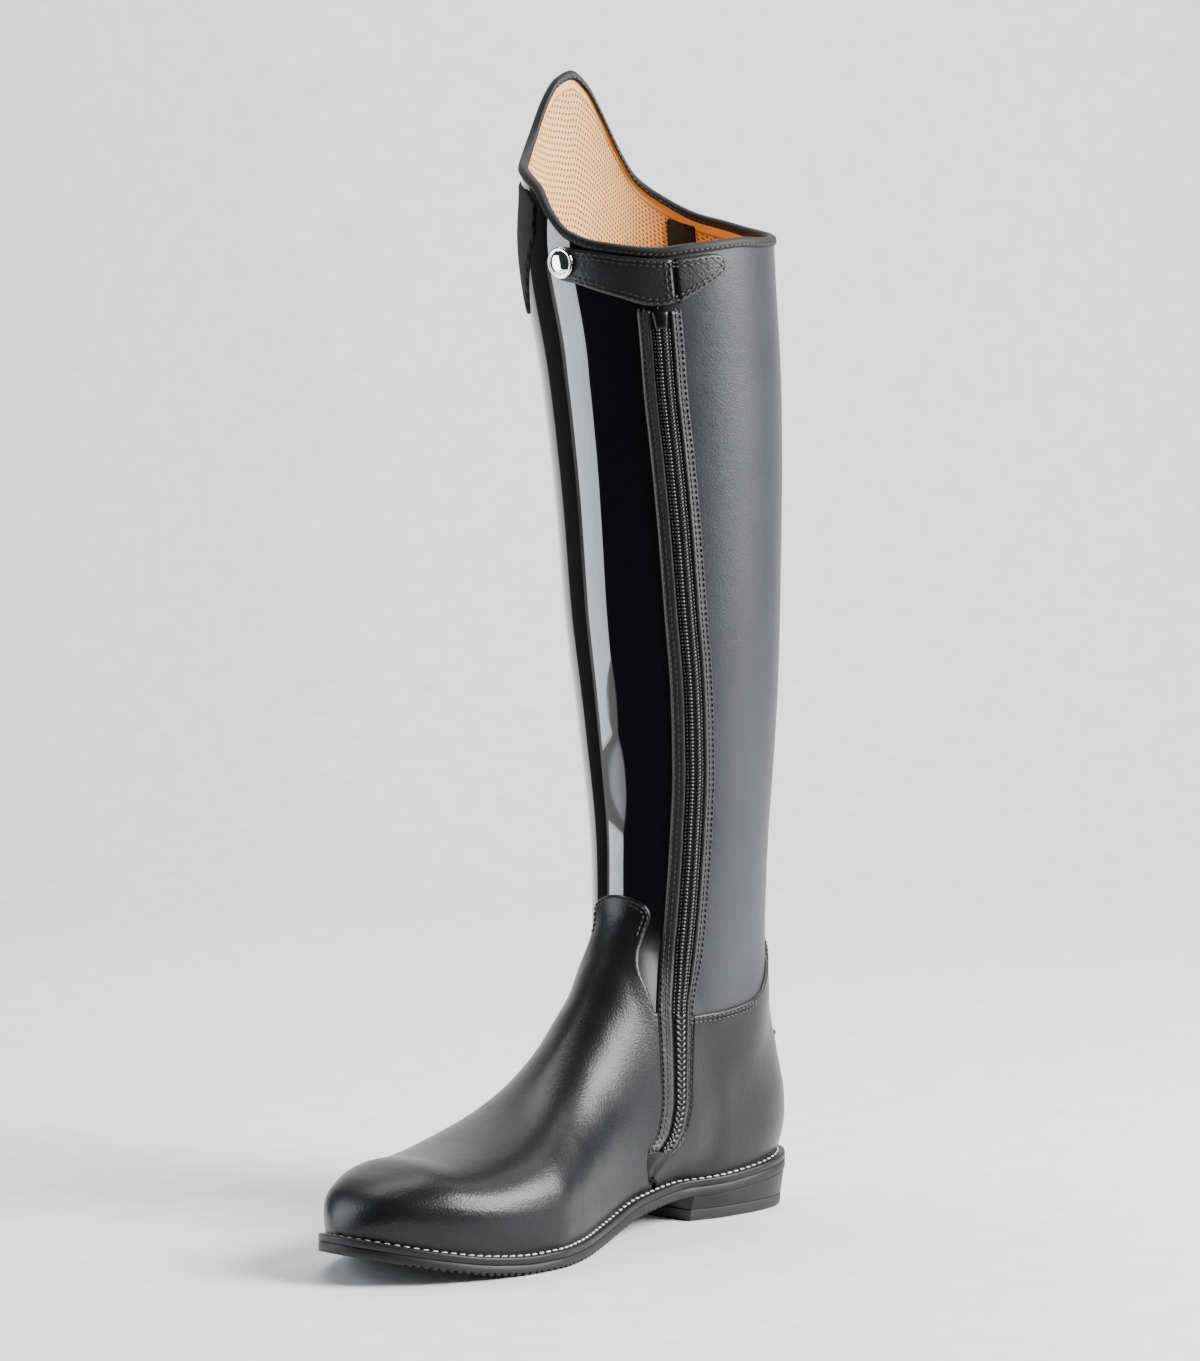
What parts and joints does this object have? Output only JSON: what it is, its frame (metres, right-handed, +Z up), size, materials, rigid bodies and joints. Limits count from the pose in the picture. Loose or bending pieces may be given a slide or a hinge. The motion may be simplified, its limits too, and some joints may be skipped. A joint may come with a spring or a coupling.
{
  "type": "dress riding boot",
  "caption": "Tall black leather dress riding boot for the right foot, with a pointed collar, an inner-side zip, a snap strap, a stitched welt and a low heel.",
  "frame": {"origin": "on the ground under the middle of the sole's length", "axes": "+Z up, the toe points to -Y, the inner side of the foot faces +X"},
  "size_m": [0.1195, 0.2965, 0.5529],
  "materials": {
    "foot_leather": "semi-matte black calf",
    "shaft_leather": "matte black calf, patent over the front",
    "strap_leather": "semi-matte black calf",
    "elastic": "coarse black knit elastic",
    "rubber": "matte black rubber",
    "welt_leather": "semi-matte black, pale stitching",
    "insole_board": "tan leather",
    "zip_textile": "black woven tape with a nylon coil",
    "chrome": "polished",
    "black_metal": "black"
  },
  "bodies": {
    "root": {"outsole": "rubber", "heel_block": "rubber", "heel_lift": "rubber", "welt": "welt_leather", "insole": "insole_board", "upper": "shaft_leather", "vamp": "foot_leather", "heel_counter": "foot_leather", "front_gusset": "elastic", "rear_gusset": "elastic", "top_binding": "strap_leather", "zip_tape": "zip_textile", "zip_coil": "zip_textile", "zip_slider": "black_metal", "zip_front_facing": "shaft_leather", "zip_rear_facing": "shaft_leather", "zip_end_patch": "shaft_leather", "top_strap": "strap_leather", "strap_tab": "strap_leather", "snap_stud": "chrome", "spur_rest": "foot_leather"}
  },
  "joints": []
}
